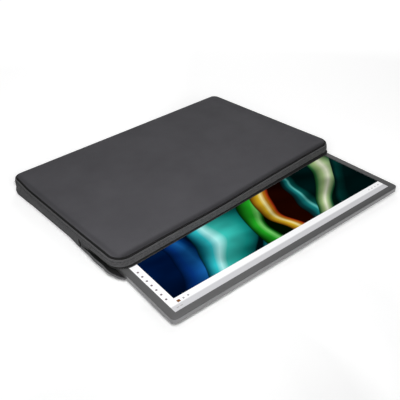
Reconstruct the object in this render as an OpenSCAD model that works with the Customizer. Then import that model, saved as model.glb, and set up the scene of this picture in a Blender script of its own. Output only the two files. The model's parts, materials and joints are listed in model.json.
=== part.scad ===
// Slim portable monitor, half drawn out of a padded sleeve that zips round its front.
// Origin: centre of the sleeve's underside. +Z is up, and the sleeve's mouth faces -Y.

/* [Sleeve] */
// Room beside the monitor on each side, when it lies square in the pocket
side_slack = 6.1; // [5:0.1:12]
// Room before and behind the monitor, when it is pushed home
end_slack = 4.6; // [3:0.1:16]
// Outside corner radius of the sleeve, seen from above
sleeve_r = 20; // [12:1:26]
// Thickness of the upright band round the sleeve
band_t = 2.4; // [1.6:0.1:2.6]
// Thickness of the outer skin
skin_t = 1.2; // [0.8:0.1:2]
// Thickness of the soft lining
lining_t = 0.8; // [0.5:0.1:1.2]
// Thickness of the bottom panel's foam
bottom_foam_t = 1.6; // [1:0.1:3]
// Thickness of the top panel's foam
top_foam_t = 5.3; // [3:0.1:7]
// Clear height of the pocket
pocket_h = 13.2; // [10:0.1:20]
// Height of the top skin's turned-down rim
skin_rim_h = 1.8; // [1.6:0.1:5]
// Radius of the piping bead in the top seam
piping_r = 0.9; // [0.6:0.1:1.2]

/* [Zip] */
// Length of the zip along each side, back from the mouth
zip_side_l = 74; // [60:1:90]
// Height of each zip tape
tape_h = 2.4; // [2:0.1:3]
// Height of the lower tape, which stands up along the sides
lower_tape_h = 1.1; // [0.8:0.1:1.6]
// Thickness of the zip tapes
tape_t = 1.0; // [0.6:0.1:1.2]
// Gap between the two tapes when the zip is closed
zip_gap = 3.6; // [1.2:0.1:4.4]
// How far the lower tape is pressed out flat along the mouth
lip_spread = 4.5; // [1:0.5:6]
// Length of the zip slider
slider_l = 10; // [8:0.5:14]
// Length of the zip pull
pull_l = 22; // [14:1:30]
// Gap between the monitor and the lower edge of the flap that lies on it
flap_gap = 0.25; // [0.2:0.05:4]

/* [Monitor] */
// Width of the lit screen
screen_w = 344.6; // [300:0.1:380]
// Depth of the lit screen
screen_d = 215.4; // [190:0.1:240]
// Width of the bezel along the lower edge
bezel_low = 8; // [7.6:0.1:12]
// Width of the bezel along the upper edge
bezel_top = 6.6; // [5:0.1:14]
// Corner radius of the monitor, seen from above
mon_r = 6; // [3:0.5:10]
// Distance from the sleeve's mouth to the middle of the monitor's lower edge
drawn_out = 104; // [90:1:140]
// Angle by which the monitor is turned in the sleeve
mon_yaw = 4; // [3:0.1:4.5]
// Gap between the monitor's rear corner and the sleeve's band
wall_gap = 0.4; // [0.3:0.1:2]
// Gap between the sleeve's lining and the monitor's back
rest_gap = 0.5; // [0.4:0.1:1]
// Thickness of the front bezel
bezel_t = 0.9; // [0.8:0.1:1.2]
// Wall thickness of the rear cover's sides
cover_wall = 1.2; // [1:0.1:1.4]
// Floor thickness of the rear cover
cover_floor = 1.0; // [0.9:0.1:1.2]

/* [Panel] */
// Thickness of the display glass
glass_t = 0.75; // [0.5:0.05:0.9]
// Thickness of the film stack
films_t = 0.3; // [0.2:0.05:0.4]
// Thickness of the light guide
guide_t = 0.5; // [0.4:0.05:0.6]
// Thickness of the reflector sheet
reflector_t = 0.15; // [0.1:0.05:0.2]
// Thickness of the panel tray's sheet metal
tray_t = 0.2; // [0.15:0.05:0.3]
// Air between the layers of the display
sheet_gap = 0.05; // [0.02:0.01:0.1]
// How far the glass reaches past the lit screen on each side
glass_rim = 0.9; // [0.5:0.1:1.2]

/* [Electronics] */
// Thickness of the circuit boards
board_t = 0.6; // [0.4:0.1:0.8]
// Height of the boards above the rear cover's floor
board_lift = 0.6; // [0.4:0.1:0.8]
// Width of the main board
main_board_w = 46; // [40:1:50]
// Length of the main board
main_board_l = 84; // [70:1:90]
// Distance from the lower edge to the main board
main_board_y = 24; // [22:1:30]
// Width of the shield can on the main board
shield_w = 26; // [16:1:32]
// Length of the shield can on the main board
shield_l = 38; // [20:1:60]
// Width of a flexible tab of the display
flex_w = 28; // [16:1:36]
// Length of the sockets
socket_l = 6.2; // [6:0.1:8]
// How far the sockets lie back from the monitor's side
socket_recess = 0.3; // [0.1:0.1:0.6]
// Width of a round-ended data socket's opening
usb_w = 8.34; // [8:0.02:9]
// Height of a round-ended data socket's opening
usb_h = 2.56; // [2.4:0.02:2.7]
// Width of the video socket's opening
video_w = 10.4; // [10:0.1:11]
// Height of the video socket's opening
video_h = 2.4; // [2.2:0.1:2.6]
// Wall thickness of the sockets
socket_wall = 0.3; // [0.2:0.05:0.35]
// Distances from the lower edge to the two data sockets
usb_y = [34, 50]; // [30:1:56]
// Distance from the lower edge to the video socket
video_y = 67; // [64:1:70]
// Distance from the lower edge to the status light
light_y = 78; // [76:1:79]
// Radius of the status light
light_r = 0.6; // [0.4:0.1:0.8]

/* [Buttons] */
// Distance from the lower edge to the power button
power_y = 86; // [84:1:88]
// Spacing of the side buttons
button_pitch = 9; // [8:0.5:10]
// Length of a side button
button_l = 6.4; // [5:0.1:7]
// Height of a side button
button_h = 2.2; // [1.8:0.1:2.4]
// How far a side button stands out
button_out = 0.4; // [0.2:0.1:0.8]
// Travel of a side button
button_travel = 0.4; // [0.3:0.05:0.5]
// Running gap round a side button
button_gap = 0.12; // [0.1:0.01:0.2]

/* [Kickstand] */
// Distance between the kickstand's recess and the main board
stand_margin = 8; // [6:1:60]
// Distance from the lower edge to the plate's free edge
stand_y = 14; // [13.5:0.5:20]
// Length of the kickstand, from its free edge to its hinge axis
stand_l = 70; // [40:1:72]
// Running clearance round the kickstand plate in its recess
stand_gap = 1; // [0.4:0.1:1.5]
// Wall thickness of the recess
recess_wall = 0.8; // [0.7:0.1:1]
// Thickness of the kickstand plate
stand_t = 1.3; // [1:0.1:1.4]
// Radius of the hinge knuckles
knuckle_r = 1.05; // [0.9:0.05:1.1]
// Radius of the hinge pins
pin_r = 0.5; // [0.4:0.05:0.6]
// Running clearance between the pin and its knuckles
pin_gap = 0.05; // [0.02:0.01:0.08]
// Length of each knuckle
knuckle_l = 14; // [10:1:18]

/* [Fasteners and feet] */
// Radius of a cover screw's shank
screw_r = 0.8; // [0.6:0.05:0.9]
// Radius of a cover screw's head
screw_head_r = 1.5; // [1.2:0.1:1.6]
// Height of a cover screw's head
screw_head_h = 0.6; // [0.4:0.1:0.7]
// Radius of a rubber foot
foot_r = 5; // [4:0.5:7]
// How far a rubber foot stands out
foot_out = 0.35; // [0.2:0.05:0.35]

/* [Hidden] */
$fn = 48;

// Small gap between pieces that lie on each other.
fit_gap = 0.1;
// Overshoot of a cut past the face that it opens.
cut = 1;

// Running gap above a hinge, a plate or a sheet.
thin_gap = 0.05;

// Heights in the sleeve.
rim_top = skin_t + bottom_foam_t + lining_t;
pocket_floor = rim_top + 2 * fit_gap;
pocket_top = pocket_floor + pocket_h;
top_foam_z = pocket_top + lining_t + fit_gap;
top_skin_z = top_foam_z + top_foam_t + fit_gap;
sleeve_top = top_skin_z + skin_t;
cover_z = sleeve_top - skin_rim_h;
piping_z = cover_z - fit_gap - piping_r;
band_top = piping_z - piping_r - fit_gap;
lower_tape_z = rim_top + fit_gap;
lower_tape_top = lower_tape_z + lower_tape_h;
upper_tape_z = lower_tape_top + zip_gap;
band_z = upper_tape_z + tape_h;

// Heights in the kickstand's recess, from the monitor's back.
plate_z = 0.2;
plate_pocket_h = plate_z + stand_t + 0.2;
axis_z = knuckle_r + 0.15;
hinge_pocket_h = axis_z + knuckle_r + 0.15;

// Heights in the monitor, layer by layer from its back.
tray_z = hinge_pocket_h + recess_wall + 2 * thin_gap;
reflector_z = tray_z + tray_t + sheet_gap;
guide_z = reflector_z + reflector_t + sheet_gap;
films_z = guide_z + guide_t + sheet_gap;
tray_top = films_z + films_t + sheet_gap;
glass_z = tray_top + sheet_gap;
bezel_z = glass_z + glass_t + sheet_gap;
cover_top = bezel_z - thin_gap;
mon_t = bezel_z + bezel_t;
board_z = cover_floor + board_lift;
board_top = board_z + board_t;

// Plan of the monitor: x from the middle, y from the lower edge.
screen_x = screen_w / 2;
screen_y0 = bezel_low;
screen_y1 = bezel_low + screen_d;
mon_d = screen_y1 + bezel_top;
glass_x = screen_x + glass_rim;
tray_gap = 0.4;
tray_x = glass_x + tray_gap + tray_t;
tray_y0 = screen_y0 - glass_rim - tray_gap - tray_t;
tray_y1 = screen_y1 + glass_rim + tray_gap + tray_t;
piece_gap = 0.2;
socket_x0 = tray_x + piece_gap;
socket_x1 = socket_x0 + socket_l;
side_x = socket_x1 + socket_recess;
mon_w = 2 * side_x;
wall_x = side_x - cover_wall;

// Sockets, buttons and screws.
socket_z = board_z + usb_h / 2 + socket_wall;
button_z = board_top + button_h / 2 + 0.5;
button_y = [for (i = [0:2]) power_y + i * button_pitch];
flange_t = 0.5;
switch_w = 3;
switch_x1 = wall_x - flange_t - 2 * thin_gap - button_travel - piece_gap;
light_z = button_z;
screw_bore_r = screw_r + thin_gap;
boss_r = screw_r + 1;
side_screw_x = (wall_x + tray_x) / 2;
side_screw_y = [stand_y, mon_d - 20];
low_screw_x = mon_w / 4;
low_screw_y = (cover_wall + tray_y0) / 2;
slot_l = 1.8;
slot_w = 0.3;
foot_seat = 0.25;
foot_inset_x = 24;
foot_inset_y = 16;

// Boards: the main one behind the sockets, the timing one along the lower edge.
main_x1 = socket_x0 - piece_gap;
main_x0 = main_x1 - main_board_w;
timing_x = low_screw_x - boss_r - 10;
timing_y0 = cover_wall + 1.2;
timing_y1 = stand_y - stand_gap - recess_wall - 0.6;

// Kickstand: its recess is shallow for the plate and deeper for the hinge.
recess_x = main_x0 - stand_margin - recess_wall;
stand_x = recess_x - stand_gap;
hinge_axis_y = stand_y + stand_l;
hinge_y0 = hinge_axis_y - knuckle_r - 3;
hinge_y1 = hinge_axis_y + knuckle_r + 5;
bracket_x0 = stand_x - knuckle_l - 2;
knuckle_x0 = bracket_x0 - 2 * piece_gap - knuckle_l;
notch_w = 24;
notch_d = 3;

// Plan of the sleeve.
sleeve_w = mon_w + 2 * (side_slack + band_t);
sleeve_d = mon_d + 2 * (end_slack + band_t);
mouth_y = -sleeve_d / 2;
fold_y = mouth_y + zip_side_l;
corner_y = mouth_y + sleeve_r;
tape_inset = (band_t - tape_t) / 2;
tape_x = sleeve_w / 2 - tape_inset;
stop_l = 0.8;

// The monitor's place: its rear corner lies beside the band.
mon_reach = (side_x - mon_r) * cos(mon_yaw) + (mon_d - mon_r) * sin(mon_yaw) + mon_r;
mon_shift = sleeve_w / 2 - band_t - wall_gap - mon_reach;
mon_y = mouth_y - drawn_out;
mon_z = pocket_floor + rest_gap;

// The flap is lifted until its edge clears the monitor's top, also round the front corners.
flap_reach = zip_side_l - 0.3 * sleeve_r;
flap_lift = asin((mon_z + mon_t + flap_gap - upper_tape_z) / flap_reach);

// Zip slider and its pull, on the right side in front of the zip's end.
slider_y1 = fold_y - 0.6;
slider_y0 = slider_y1 - slider_l;
plate_gap = 0.3;
slider_out = 1.2;
slider_in = 0.5;
slider_z0 = lower_tape_z + piece_gap;
slider_z1 = band_z - 2 * piece_gap;
slider_x = tape_x + plate_gap;
pull_axis = [slider_x + slider_out + 1.1, slider_y1 - slider_l / 2];
ear_h = 0.5;
pull_pin_r = 0.4;
pull_eye_r = 0.9;
pull_t = 0.8;
pull_z0 = slider_z0 + ear_h + fit_gap;
pull_z1 = slider_z1 - ear_h - fit_gap;

// ---------- shared shapes ----------

// Rounded rectangle centred on x, from y0 to y1.
module plan(x, y0, y1, r) {
    translate([-x + r, y0]) square([2 * (x - r), y1 - y0]);
    translate([-x, y0 + r]) square([2 * x, y1 - y0 - 2 * r]);
    for (sx = [-1, 1], y = [y0 + r, y1 - r])
        translate([sx * (x - r), y]) circle(r);
}

// Upright slab with rounded corners.
module slab(x, y0, y1, r, z0, z1) {
    translate([0, 0, z0]) linear_extrude(z1 - z0) plan(x, y0, y1, r);
}

// Slab of the sleeve's outline, drawn in by an inset.
module sleeve_slab(inset, z0, z1) {
    slab(sleeve_w / 2 - inset, -sleeve_d / 2 + inset, sleeve_d / 2 - inset, sleeve_r - inset, z0, z1);
}

// Closed wall that follows the sleeve's outline.
module sleeve_ring(inset, t, z0, z1) {
    difference() {
        sleeve_slab(inset, z0, z1);
        sleeve_slab(inset + t, z0 - cut, z1 + cut);
    }
}

// The part of a shape behind the fold, or in front of it.
module behind_fold() {
    intersection() {
        children();
        box([-sleeve_w, fold_y, -cut], [sleeve_w, sleeve_d, 2 * sleeve_top]);
    }
}

module before_fold(gap = 0) {
    intersection() {
        children();
        box([-sleeve_w, -sleeve_d, -cut], [sleeve_w, fold_y - gap, 2 * sleeve_top]);
    }
}

// The front flap turns up about the fold line in the top skin.
module flap_pose() {
    translate([0, fold_y, sleeve_top]) rotate([-flap_lift, 0, 0]) translate([0, -fold_y, -sleeve_top])
        children();
}

// The monitor's own frame: middle of the lower edge of its back.
module monitor_pose() {
    translate([mon_shift, mon_y, mon_z]) rotate([0, 0, -mon_yaw]) children();
}

module monitor_slab(inset, z0, z1) {
    slab(side_x - inset, inset, mon_d - inset, mon_r - inset, z0, z1);
}

// Box between two corners.
module box(a, b) {
    translate(a) cube(b - a);
}

// Round bar along X between x0 and x1.
module x_bar(x0, x1, y, z, r) {
    translate([x0, y, z]) rotate([0, 90, 0]) cylinder(h = x1 - x0, r = r);
}

// ---------- sleeve ----------

module bottom_cover() {
    color("#39393c") difference() {
        sleeve_slab(0, 0, rim_top);
        sleeve_slab(band_t, skin_t, rim_top + cut);
    }
}

module bottom_padding() {
    z = skin_t + fit_gap;
    color("#2a2a2c") sleeve_slab(band_t + 0.2, z, z + bottom_foam_t);
}

module bottom_lining() {
    color("#1c1c1e") sleeve_slab(band_t + 0.2, pocket_floor - lining_t, pocket_floor);
}

// Closed wall behind the zip's ends: a straight back, two straight sides and two corners.
module back_band() {
    color("#434346")
        box([-sleeve_w / 2 + sleeve_r + fit_gap, sleeve_d / 2 - band_t, rim_top + fit_gap],
            [sleeve_w / 2 - sleeve_r - fit_gap, sleeve_d / 2, band_top]);
}

// Straight side walls, cut back at the front for the ends of the zip.
module side_bands() {
    color("#434346") for (m = [0, 1]) mirror([m, 0, 0]) difference() {
        box([sleeve_w / 2 - band_t, fold_y, rim_top + fit_gap],
            [sleeve_w / 2, sleeve_d / 2 - sleeve_r - fit_gap, band_top]);
        box([0, fold_y - cut, -cut], [sleeve_w, fold_y + stop_l + 0.2, band_z]);
    }
}

// Rounded rear corners of the wall, sewn to the straight lengths.
module corner_bands() {
    color("#434346") for (m = [0, 1]) mirror([m, 0, 0])
        translate([sleeve_w / 2 - sleeve_r, sleeve_d / 2 - sleeve_r, rim_top + fit_gap])
            rotate_extrude(angle = 90) translate([sleeve_r - band_t, 0])
                square([band_t, band_top - rim_top - fit_gap]);
}

// Piping bead: straight bars joined by quarter rings at the corners.
module piping_loop() {
    x = sleeve_w / 2 - piping_r - 0.2;
    y = sleeve_d / 2 - piping_r - 0.2;
    r = sleeve_r - piping_r - 0.2;
    for (s = [-1, 1]) {
        x_bar(-x + r, x - r, s * y, piping_z, piping_r);
        translate([s * x, y - r, piping_z]) rotate([90, 0, 0]) cylinder(h = 2 * (y - r), r = piping_r);
    }
    for (q = [0:3])
        translate([(q == 0 || q == 3 ? 1 : -1) * (x - r), (q < 2 ? 1 : -1) * (y - r), piping_z])
            rotate([0, 0, 90 * q]) rotate_extrude(angle = 90) translate([r, 0]) circle(piping_r);
}

module piping_rear() {
    color("#59595c") behind_fold() piping_loop();
}

// Top skin with its turned-down rim.
module top_skin() {
    difference() {
        sleeve_slab(0, cover_z, sleeve_top);
        sleeve_slab(skin_t, cover_z - cut, top_skin_z);
    }
}

module top_foam() {
    sleeve_slab(band_t + 0.2, top_foam_z, top_skin_z - fit_gap);
}

module top_lining() {
    sleeve_slab(band_t + 0.2, pocket_top, pocket_top + lining_t);
}

module top_cover_rear() {
    color("#4a4a4e") behind_fold() top_skin();
}

module top_padding_rear() {
    color("#2a2a2c") behind_fold() top_foam();
}

module top_lining_rear() {
    color("#1c1c1e") behind_fold() top_lining();
}

// Lower tape: it stands along the sides and is pressed out flat along the mouth.
module lower_zip_tape() {
    color("#2f2f31") {
        intersection() {
            before_fold() sleeve_ring(tape_inset, tape_t, lower_tape_z, lower_tape_top);
            for (s = [-1, 1])
                box([s * sleeve_w / 2 - sleeve_r / 4, corner_y, 0],
                    [s * sleeve_w / 2 + sleeve_r / 4, fold_y, pocket_top]);
        }
        box([-sleeve_w / 2 + sleeve_r, mouth_y - lip_spread, rim_top - tape_t - 0.2],
            [sleeve_w / 2 - sleeve_r, mouth_y - fit_gap, rim_top - 0.2]);
    }
}

// Two small stops at the zip's ends, between the lower rim and the flap's band.
module zip_stops() {
    color("#1a1a1b") for (s = [-1, 1])
        box([s * (tape_x - tape_t / 2) - tape_t / 2, fold_y, lower_tape_z],
            [s * (tape_x - tape_t / 2) + tape_t / 2, fold_y + stop_l, band_z - fit_gap]);
}

// ---------- front flap ----------

module front_band() {
    color("#434346") flap_pose() before_fold(fit_gap) sleeve_ring(0, band_t, band_z, band_top);
}

module piping_front() {
    color("#59595c") flap_pose() before_fold(fit_gap) piping_loop();
}

module top_cover_front() {
    color("#4a4a4e") flap_pose() before_fold(fit_gap) top_skin();
}

module top_padding_front() {
    color("#2a2a2c") flap_pose() before_fold(fit_gap) top_foam();
}

module top_lining_front() {
    color("#1c1c1e") flap_pose() before_fold(fit_gap) top_lining();
}

module upper_zip_tape() {
    color("#2f2f31") flap_pose()
        before_fold(fit_gap) sleeve_ring(tape_inset, tape_t, upper_tape_z, band_z - fit_gap);
}

// ---------- zip slider ----------

module zip_slider() {
    post_z = (lower_tape_top + upper_tape_z) / 2;
    post_h = zip_gap - 3 * piece_gap;
    color("#6b6b6e") {
        box([slider_x, slider_y0, slider_z0], [slider_x + slider_out, slider_y1, slider_z1]);
        box([tape_x - tape_t - plate_gap - slider_in, slider_y0, slider_z0],
            [tape_x - tape_t - plate_gap, slider_y1, slider_z1]);
        box([tape_x - tape_t - plate_gap, slider_y0, post_z - post_h / 2],
            [slider_x, slider_y0 + slider_l / 3, post_z + post_h / 2]);
        for (z = [slider_z0, slider_z1 - ear_h])
            box([slider_x + slider_out, pull_axis[1] - pull_eye_r, z],
                [pull_axis[0] + pull_eye_r, pull_axis[1] + pull_eye_r, z + ear_h]);
        translate([pull_axis[0], pull_axis[1], slider_z0])
            cylinder(h = slider_z1 - slider_z0, r = pull_pin_r);
    }
}

module zip_pull() {
    hole_r = 0.6;
    h = pull_z1 - pull_z0;
    color("#7a7a7d") translate([pull_axis[0], pull_axis[1], pull_z0]) difference() {
        union() {
            cylinder(h = h, r = pull_eye_r);
            box([-pull_t / 2, pull_eye_r - 0.3, 0], [pull_t / 2, pull_l, h]);
        }
        translate([0, 0, -cut]) cylinder(h = h + 2 * cut, r = pull_pin_r + 0.08);
        x_bar(-cut, cut, pull_l - 3, h / 2, hole_r);
    }
}

// ---------- monitor shells ----------

// Opening for a socket through the cover's right side, with rounded ends.
module socket_cut(y, w, h, z) {
    r = h / 2 + socket_wall + 0.12;
    translate([wall_x - cut, 0, 0]) rotate([90, 0, 90]) linear_extrude(cover_wall + 2 * cut) {
        translate([y - w / 2 + h / 2, z - r]) square([w - h, 2 * r]);
        for (s = [-1, 1]) translate([y + s * (w - h) / 2, z]) circle(r);
    }
}

module screw_places() {
    for (s = [-1, 1]) {
        for (y = side_screw_y) translate([s * side_screw_x, y, 0]) children();
        translate([s * low_screw_x, low_screw_y, 0]) children();
    }
}

module foot_places() {
    for (s = [-1, 1], y = [foot_inset_y, mon_d - foot_inset_y])
        translate([s * (side_x - foot_inset_x), y, 0]) children();
}

module board_post() {
    cylinder(h = board_z - thin_gap, r = 2);
}

module rear_cover() {
    color("#5f6062") monitor_pose() difference() {
        union() {
            difference() {
                monitor_slab(0, 0, cover_top);
                monitor_slab(cover_wall, cover_floor, cover_top + cut);
            }
            box([-recess_x - recess_wall, stand_y - stand_gap - recess_wall, 0],
                [recess_x + recess_wall, hinge_y0, plate_pocket_h + recess_wall]);
            box([-recess_x - recess_wall, hinge_y0 - recess_wall, 0],
                [recess_x + recess_wall, hinge_y1 + recess_wall, hinge_pocket_h + recess_wall]);
            for (y = [main_board_y + 6, main_board_y + main_board_l - 6])
                translate([(main_x0 + main_x1) / 2, y, 0]) board_post();
            for (s = [-1, 1])
                translate([s * timing_x * 0.7, (timing_y0 + timing_y1) / 2, 0]) board_post();
        }
        box([-recess_x, stand_y - stand_gap, -cut], [recess_x, hinge_y0 + cut, plate_pocket_h]);
        box([-recess_x, hinge_y0, -cut], [recess_x, hinge_y1, hinge_pocket_h]);
        screw_places() {
            translate([0, 0, -cut]) cylinder(h = cut + screw_head_h + thin_gap, r = screw_head_r + fit_gap);
            translate([0, 0, -cut]) cylinder(h = 2 * cut + cover_floor, r = screw_r + fit_gap);
        }
        foot_places() translate([0, 0, -cut]) cylinder(h = cut + foot_seat + thin_gap, r = foot_r + fit_gap);
        for (y = usb_y) socket_cut(y, usb_w, usb_h, socket_z);
        socket_cut(video_y, video_w, video_h, socket_z);
        for (y = button_y)
            box([wall_x - cut, y - button_l / 2 - button_gap, button_z - button_h / 2 - button_gap],
                [side_x + cut, y + button_l / 2 + button_gap, button_z + button_h / 2 + button_gap]);
        x_bar(wall_x - cut, side_x + cut, light_y, light_z, light_r + thin_gap);
    }
}

module front_bezel() {
    color("#5a5b5d") monitor_pose() difference() {
        union() {
            monitor_slab(0, bezel_z, mon_t);
            screw_places() translate([0, 0, cover_floor + fit_gap])
                cylinder(h = bezel_z - cover_floor, r = boss_r);
        }
        box([-screen_x, screen_y0, bezel_z - cut], [screen_x, screen_y1, mon_t + cut]);
        screw_places() cylinder(h = bezel_z - 0.4, r = screw_bore_r);
    }
}

// ---------- display module ----------

module display_glass() {
    color("#0d2b3a") monitor_pose()
        box([-glass_x, screen_y0 - glass_rim, glass_z], [glass_x, screen_y1 + glass_rim, glass_z + glass_t]);
}

// Sheet inside the panel tray, behind the light strip.
module tray_sheet(z, t, gap) {
    box([-glass_x, screen_y0 + gap, z], [glass_x, screen_y1 + glass_rim, z + t]);
}

module light_films() {
    color("#dfe6ea") monitor_pose() tray_sheet(films_z, films_t, 0);
}

module light_guide() {
    color("#cfe3ea") monitor_pose() tray_sheet(guide_z, guide_t, 0.4);
}

module reflector_sheet() {
    color("#f2f2f0") monitor_pose() tray_sheet(reflector_z, reflector_t, 0.4);
}

module led_strip() {
    color("#e8d58a") monitor_pose()
        box([-screen_x + 4, screen_y0 - glass_rim, reflector_z],
            [screen_x - 4, screen_y0 - 0.1, reflector_z + reflector_t + guide_t]);
}

module panel_tray() {
    color("#9a9c9f") monitor_pose() difference() {
        box([-tray_x, tray_y0, tray_z], [tray_x, tray_y1, tray_top]);
        box([-tray_x + tray_t, tray_y0 + tray_t, tray_z + tray_t],
            [tray_x - tray_t, tray_y1 - tray_t, tray_top + cut]);
    }
}

// ---------- boards, cables and sockets ----------

module main_board() {
    color("#1f5a3a") monitor_pose()
        box([main_x0, main_board_y, board_z], [main_x1, main_board_y + main_board_l, board_top]);
}

module shield_can() {
    x0 = main_x0 + (main_board_w - shield_w) / 3;
    y0 = main_board_y + (main_board_l - shield_l) / 2;
    z1 = tray_z - fit_gap;
    wall = tray_t;
    color("#b8bbbe") monitor_pose() difference() {
        box([x0, y0, board_top + thin_gap / 2], [x0 + shield_w, y0 + shield_l, z1]);
        box([x0 + wall, y0 + wall, board_top - cut], [x0 + shield_w - wall, y0 + shield_l - wall, z1 - wall]);
    }
}

module timing_board() {
    color("#1f5a3a") monitor_pose()
        box([-timing_x, timing_y0, board_z], [timing_x, timing_y1, board_top]);
}

// Two flexible tabs that fold from the glass's lower edge down to the timing board.
module panel_flex() {
    t = 0.12;
    fold = tray_y0 - piece_gap;
    top = glass_z + glass_t / 2;
    color("#b0762a") monitor_pose() for (s = [-1, 1]) {
        x = s * timing_x / 2;
        box([x - flex_w / 2, fold - t, board_top + thin_gap], [x + flex_w / 2, fold, top]);
        box([x - flex_w / 2, fold, top - t],
            [x + flex_w / 2, screen_y0 - glass_rim - thin_gap, top]);
    }
}

// Flat cable from the timing board to the main board.
module link_cable() {
    w = 2.4;
    t = 0.2;
    lap = 6;
    z = board_top + thin_gap;
    y1 = timing_y1 - 2 * piece_gap;
    x1 = main_x0 + lap;
    color("#d9d4c8") monitor_pose() {
        box([timing_x - lap, y1 - w, z], [x1, y1, z + t]);
        box([x1 - w, y1, z], [x1, main_board_y + lap, z + t]);
    }
}

// Hollow socket with rounded ends and a contact tongue inside.
module socket(y, w, h) {
    back = 0.5;
    r = h / 2;
    color("#c4c6c8") translate([socket_x0, 0, 0]) rotate([90, 0, 90]) difference() {
        linear_extrude(socket_x1 - socket_x0) {
            translate([y - w / 2 + r, socket_z - r - socket_wall]) square([w - h, h + 2 * socket_wall]);
            for (s = [-1, 1]) translate([y + s * (w - h) / 2, socket_z]) circle(r + socket_wall);
        }
        translate([0, 0, back]) linear_extrude(socket_x1 - socket_x0) {
            translate([y - w / 2 + r, socket_z - r]) square([w - h, h]);
            for (s = [-1, 1]) translate([y + s * (w - h) / 2, socket_z]) circle(r);
        }
    }
    tongue_w = w * 0.78;
    color("#242424")
        box([socket_x0 + back - 0.1, y - tongue_w / 2, socket_z - 0.35],
            [socket_x1 - 0.8, y + tongue_w / 2, socket_z + 0.35]);
}

module usb_ports() {
    monitor_pose() for (y = usb_y) socket(y, usb_w, usb_h);
}

module video_port() {
    monitor_pose() socket(video_y, video_w, video_h);
}

// Small board with one push switch behind each side button.
module button_board() {
    y0 = button_y[0] - button_l / 2;
    y1 = button_y[2] + button_l / 2;
    color("#1f5a3a") monitor_pose() {
        box([socket_x0, y0, cover_floor + thin_gap], [wall_x - piece_gap, y1, board_z - thin_gap]);
        for (y = button_y)
            box([socket_x0 + piece_gap, y - switch_w / 2, board_z - 2 * thin_gap],
                [switch_x1, y + switch_w / 2, button_z + button_h / 2]);
    }
}

module status_light() {
    color("#dff3e2") monitor_pose() x_bar(wall_x - 1.4, side_x - 0.1, light_y, light_z, light_r);
}

// Side button: a cap through the wall, with a flange behind it.
module side_button(i) {
    y = button_y[i];
    color("#4b4c4e") monitor_pose() {
        box([wall_x - flange_t, y - button_l / 2, button_z - button_h / 2],
            [side_x + button_out, y + button_l / 2, button_z + button_h / 2]);
        box([wall_x - fit_gap - flange_t, y - button_l / 2 - flange_t, button_z - button_h / 2 - flange_t],
            [wall_x - fit_gap, y + button_l / 2 + flange_t, button_z + button_h / 2 + flange_t]);
    }
}

module power_button() {
    side_button(0);
}

module up_button() {
    side_button(1);
}

module down_button() {
    side_button(2);
}

// ---------- fasteners and feet ----------

module cover_screws() {
    color("#3a3a3c") monitor_pose() screw_places() difference() {
        union() {
            cylinder(h = screw_head_h, r = screw_head_r);
            cylinder(h = bezel_z - screw_head_h, r = screw_r);
        }
        for (a = [0, 90]) rotate([0, 0, a])
            box([-slot_l / 2, -slot_w / 2, -cut], [slot_l / 2, slot_w / 2, screw_head_h / 2]);
    }
}

module rubber_feet() {
    color("#1d1d1e") monitor_pose() foot_places()
        translate([0, 0, -foot_out]) cylinder(h = foot_out + foot_seat, r = foot_r);
}

// ---------- kickstand ----------

// Fixed knuckles, each with a leaf screwed flat under the pocket's roof.
module hinge_brackets() {
    color("#8b8d90") monitor_pose() for (s = [-1, 1]) difference() {
        union() {
            x_bar(s * (bracket_x0 + knuckle_l / 2) - knuckle_l / 2,
                  s * (bracket_x0 + knuckle_l / 2) + knuckle_l / 2, hinge_axis_y, axis_z, knuckle_r);
            box([s * (bracket_x0 + knuckle_l / 2) - knuckle_l / 2, hinge_axis_y, axis_z + 0.2],
                [s * (bracket_x0 + knuckle_l / 2) + knuckle_l / 2, hinge_y1 - 0.3, hinge_pocket_h - 0.1]);
        }
        x_bar(-side_x, side_x, hinge_axis_y, axis_z, pin_r + pin_gap);
    }
}

module hinge_pins() {
    color("#c9cbcd") monitor_pose() for (s = [-1, 1]) {
        mid = s * (knuckle_x0 + bracket_x0 + knuckle_l) / 2;
        half = (bracket_x0 + knuckle_l - knuckle_x0) / 2 - 0.5;
        x_bar(mid - half, mid + half, hinge_axis_y, axis_z, pin_r);
    }
}

module kickstand() {
    plate_y1 = hinge_axis_y - knuckle_r - 3 * piece_gap;
    color("#56575a") monitor_pose() difference() {
        union() {
            box([-stand_x, stand_y, plate_z], [stand_x, plate_y1, plate_z + stand_t]);
            for (s = [-1, 1]) {
                mid = s * (knuckle_x0 + knuckle_l / 2);
                x_bar(mid - knuckle_l / 2, mid + knuckle_l / 2, hinge_axis_y, axis_z, knuckle_r);
                box([mid - knuckle_l / 2, plate_y1 - cut, plate_z],
                    [mid + knuckle_l / 2, hinge_axis_y, plate_z + stand_t - piece_gap]);
            }
        }
        x_bar(-side_x, side_x, hinge_axis_y, axis_z, pin_r + pin_gap);
        box([-notch_w / 2, stand_y - cut, plate_z - cut],
            [notch_w / 2, stand_y + notch_d, plate_z + stand_t + cut]);
    }
}

// ---------- the assembly ----------

bottom_cover();
bottom_padding();
bottom_lining();
back_band();
side_bands();
corner_bands();
piping_rear();
top_cover_rear();
top_padding_rear();
top_lining_rear();
lower_zip_tape();
zip_stops();
front_band();
piping_front();
top_cover_front();
top_padding_front();
top_lining_front();
upper_zip_tape();
zip_slider();
zip_pull();
rear_cover();
front_bezel();
display_glass();
light_films();
light_guide();
reflector_sheet();
led_strip();
panel_tray();
main_board();
shield_can();
timing_board();
panel_flex();
link_cable();
usb_ports();
video_port();
button_board();
status_light();
cover_screws();
rubber_feet();
hinge_brackets();
hinge_pins();
kickstand();
power_button();
up_button();
down_button();
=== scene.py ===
"""Portable monitor half drawn out of its padded zip sleeve."""

import json
import math

import bmesh
import bpy
from mathutils import Matrix, Vector

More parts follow.
